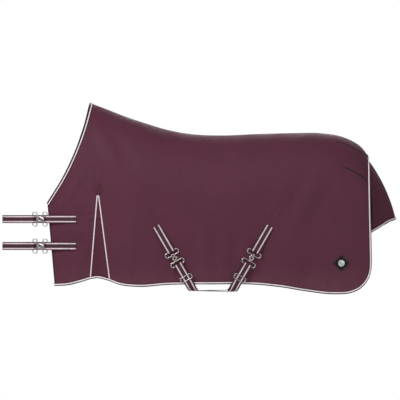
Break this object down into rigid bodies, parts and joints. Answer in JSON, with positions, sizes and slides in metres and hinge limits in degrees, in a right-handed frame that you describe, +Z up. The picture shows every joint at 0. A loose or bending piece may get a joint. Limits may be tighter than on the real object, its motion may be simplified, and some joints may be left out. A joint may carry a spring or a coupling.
{
  "type": "horse turnout rug",
  "caption": "Quilted turnout rug in its worn shape, with clip-fastened chest straps, crossed belly surcingles, shoulder gussets and a lifting tail flap.",
  "frame": {"origin": "on the lining's underside at the middle of the back, where the rug rests on the horse", "axes": "+X towards the tail, +Z up, the horse's near (left) side at -Y"},
  "size_m": [1.9729, 0.603, 0.9629],
  "materials": {
    "binding_tape": "woven tape, near-black burgundy",
    "label": "near-black woven label",
    "lining_fabric": "smooth dark polyester lining",
    "outer_fabric": "matt waterproof ripstop polyester, burgundy",
    "piping_cord": "pale pink satin binding and piping",
    "steel": "nickel-plated steel",
    "wadding_fill": "bonded polyester wadding, white",
    "webbing": "woven polypropylene webbing, burgundy with two pale stripes"
  },
  "bodies": {
    "rug": {"chest_edge_binding_near": "binding_tape", "chest_edge_binding_off": "binding_tape", "chest_strap_lower_near": "webbing", "chest_strap_lower_off": "webbing", "chest_strap_upper_near": "webbing", "chest_strap_upper_off": "webbing", "gusset_near": "outer_fabric", "gusset_off": "outer_fabric", "gusset_patch_near": "outer_fabric", "gusset_patch_off": "outer_fabric", "gusset_piping_near": "piping_cord", "gusset_piping_off": "piping_cord", "hem_binding": "piping_cord", "label_badge": "steel", "label_patch": "label", "lining": "lining_fabric", "neck_binding": "binding_tape", "neck_piping": "piping_cord", "outer_shell": "outer_fabric", "rump_dart_lower_near": "binding_tape", "rump_dart_lower_off": "binding_tape", "rump_dart_upper_near": "binding_tape", "rump_dart_upper_off": "binding_tape", "surcingle_front_anchor": "webbing", "surcingle_front_belly": "webbing", "surcingle_rear_anchor": "webbing", "surcingle_rear_belly": "webbing", "wadding": "wadding_fill"},
    "chest_upper_end": {"chest_strap_upper_end": "webbing"},
    "chest_upper_hook_frame": {"chest_hook_upper": "steel"},
    "chest_upper_ring_frame": {"chest_ring_upper": "steel"},
    "chest_lower_end": {"chest_strap_lower_end": "webbing"},
    "chest_lower_hook_frame": {"chest_hook_lower": "steel"},
    "chest_lower_ring_frame": {"chest_ring_lower": "steel"},
    "surcingle_front_near_end": {"surcingle_front_end": "webbing"},
    "surcingle_front_hook_frame": {"surcingle_front_hook": "steel"},
    "surcingle_front_ring_frame": {"surcingle_front_ring": "steel"},
    "surcingle_front_adjuster": {"surcingle_front_slider": "steel"},
    "surcingle_rear_near_end": {"surcingle_rear_end": "webbing"},
    "surcingle_rear_hook_frame": {"surcingle_rear_hook": "steel"},
    "surcingle_rear_ring_frame": {"surcingle_rear_ring": "steel"},
    "surcingle_rear_adjuster": {"surcingle_rear_slider": "steel"},
    "tail_flap": {"tail_flap_outer": "outer_fabric", "tail_flap_lining": "lining_fabric", "tail_flap_binding": "piping_cord"}
  },
  "joints": [
    {"name": "chest_upper_open", "type": "hinge", "parent": "rug", "child": "chest_upper_end", "pos_m": [-1.0921, 0, -0.409], "axis": [0, 0, -1], "range_deg": [0, 75]},
    {"name": "chest_upper_hook_tilt", "type": "hinge", "parent": "chest_upper_end", "child": "chest_upper_hook_frame", "pos_m": [-0.93707, -0.13397, -0.409], "axis": [0, 0, 1], "range_deg": [0, 60]},
    {"name": "chest_upper_ring_tilt", "type": "hinge", "parent": "rug", "child": "chest_upper_ring_frame", "pos_m": [-0.86581, -0.16315, -0.409], "axis": [0, 0, 1], "range_deg": [-25, 0]},
    {"name": "chest_lower_open", "type": "hinge", "parent": "rug", "child": "chest_lower_end", "pos_m": [-1.0921, 0, -0.544], "axis": [0, 0, -1], "range_deg": [0, 75]},
    {"name": "chest_lower_hook_tilt", "type": "hinge", "parent": "chest_lower_end", "child": "chest_lower_hook_frame", "pos_m": [-0.93652, -0.12115, -0.544], "axis": [0, 0, 1], "range_deg": [0, 60]},
    {"name": "chest_lower_ring_tilt", "type": "hinge", "parent": "rug", "child": "chest_lower_ring_frame", "pos_m": [-0.86571, -0.15139, -0.544], "axis": [0, 0, 1], "range_deg": [-25, 0]},
    {"name": "surcingle_front_open", "type": "hinge", "parent": "rug", "child": "surcingle_front_near_end", "pos_m": [-0.15279, -0.28829, -0.73189], "axis": [0.866, 0, 0.5], "range_deg": [0, 120]},
    {"name": "surcingle_front_hook_tilt", "type": "hinge", "parent": "surcingle_front_near_end", "child": "surcingle_front_hook_frame", "pos_m": [-0.2075, -0.28298, -0.63712], "axis": [0.866, 0, 0.5], "range_deg": [0, 60]},
    {"name": "surcingle_front_ring_tilt", "type": "hinge", "parent": "rug", "child": "surcingle_front_ring_frame", "pos_m": [-0.246, -0.28298, -0.57044], "axis": [-0.866, 0, -0.5], "range_deg": [-5, 0]},
    {"name": "surcingle_front_adjust", "type": "slide", "parent": "surcingle_front_near_end", "child": "surcingle_front_adjuster", "axis": [-0.5, 0, 0.866], "range_m": [-0.012, 0.03]},
    {"name": "surcingle_rear_open", "type": "hinge", "parent": "rug", "child": "surcingle_rear_near_end", "pos_m": [0.08278, -0.29877, -0.73189], "axis": [0.866, 0, -0.5], "range_deg": [0, 120]},
    {"name": "surcingle_rear_hook_tilt", "type": "hinge", "parent": "surcingle_rear_near_end", "child": "surcingle_rear_hook_frame", "pos_m": [0.1375, -0.29347, -0.63712], "axis": [0.866, 0, -0.5], "range_deg": [0, 60]},
    {"name": "surcingle_rear_ring_tilt", "type": "hinge", "parent": "rug", "child": "surcingle_rear_ring_frame", "pos_m": [0.176, -0.29347, -0.57044], "axis": [-0.866, 0, 0.5], "range_deg": [-5, 0]},
    {"name": "surcingle_rear_adjust", "type": "slide", "parent": "surcingle_rear_near_end", "child": "surcingle_rear_adjuster", "axis": [0.5, 0, 0.866], "range_m": [-0.012, 0.03]},
    {"name": "tail_flap_lift", "type": "hinge", "parent": "rug", "child": "tail_flap", "pos_m": [0.7427, 0, -0.10989], "axis": [0, -1, 0], "range_deg": [0, 70]}
  ]
}
